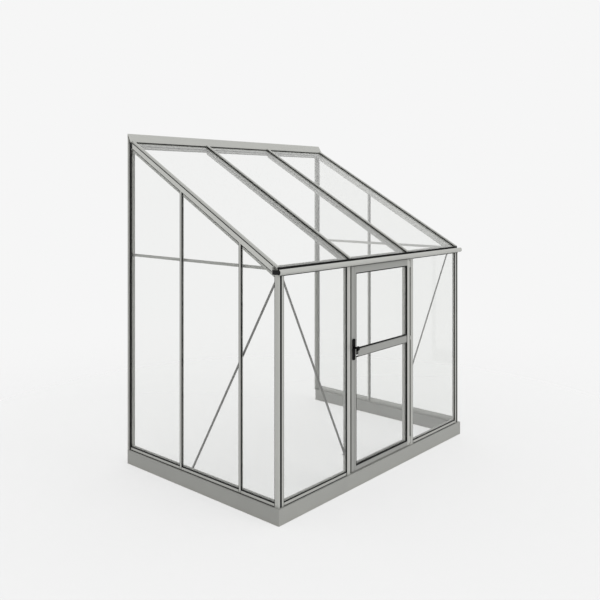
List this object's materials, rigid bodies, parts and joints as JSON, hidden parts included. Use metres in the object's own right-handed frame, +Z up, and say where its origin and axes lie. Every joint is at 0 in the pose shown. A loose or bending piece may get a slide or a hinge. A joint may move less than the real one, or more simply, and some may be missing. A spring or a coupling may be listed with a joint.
{
  "type": "lean-to greenhouse",
  "caption": "Lean-to greenhouse with an extruded aluminium frame, single glass, a hinged front door, a gutter and a low base, made to stand against a house wall.",
  "frame": {"origin": "on the ground, in the middle of the whole outline seen from above", "axes": "+X along the front to the right seen from outside, +Y from the front to the house wall, +Z up"},
  "size_m": [2.7, 1.908, 2.9834],
  "materials": {
    "aluminium": "mill finish, satin",
    "base": "grey, matt",
    "glass": "clear float glass",
    "black": "black, satin"
  },
  "bodies": {
    "frame": {"base_front": "base", "base_left": "base", "base_right": "base", "brace_front_left": "aluminium", "brace_front_right": "aluminium", "brace_gable_left": "aluminium", "cap_left": "aluminium", "cap_left_end": "aluminium", "cap_right": "aluminium", "cap_right_end": "aluminium", "corner_post_left": "aluminium", "corner_post_right": "aluminium", "door_jamb_left": "aluminium", "door_jamb_right": "aluminium", "eaves_beam": "aluminium", "gable_bar_left_front": "aluminium", "gable_bar_left_rear": "aluminium", "gable_bar_right_rear": "aluminium", "gable_rail_left": "aluminium", "gable_rail_right": "aluminium", "glass_front_left": "glass", "glass_front_right": "glass", "glass_gable_left_front": "glass", "glass_gable_left_middle": "glass", "glass_gable_left_rear": "glass", "glass_gable_right_front": "glass", "glass_gable_right_rear": "glass", "glass_roof_left": "glass", "glass_roof_middle": "glass", "glass_roof_right": "glass", "gutter": "aluminium", "hinge_bottom": "aluminium", "hinge_top": "aluminium", "rafter_left": "aluminium", "rafter_left_end": "aluminium", "rafter_right": "aluminium", "rafter_right_end": "aluminium", "ridge_beam": "aluminium", "ridge_flashing": "aluminium", "sill_front_left": "aluminium", "sill_front_right": "aluminium", "sill_left": "aluminium", "sill_right": "aluminium", "wall_post_left": "aluminium", "wall_post_right": "aluminium"},
    "door": {"door_rail_bottom": "aluminium", "door_rail_cover": "aluminium", "door_rail_middle": "aluminium", "door_rail_top": "aluminium", "door_stile_hinge": "aluminium", "door_stile_latch": "aluminium", "glass_door_lower": "glass", "glass_door_upper": "glass", "lock_plate": "black"},
    "knob": {"knob": "black"}
  },
  "joints": [
    {"name": "door_hinge", "type": "hinge", "parent": "frame", "child": "door", "pos_m": [0.451, -0.895, 0.98], "axis": [0, 0, 1], "range_deg": [0, 100]},
    {"name": "knob_turn", "type": "hinge", "parent": "door", "child": "knob", "pos_m": [-0.4175, -0.922, 1.162], "axis": [0, 1, 0], "range_deg": [-60, 60], "stiffness_Nm_per_rad": 0.2}
  ]
}
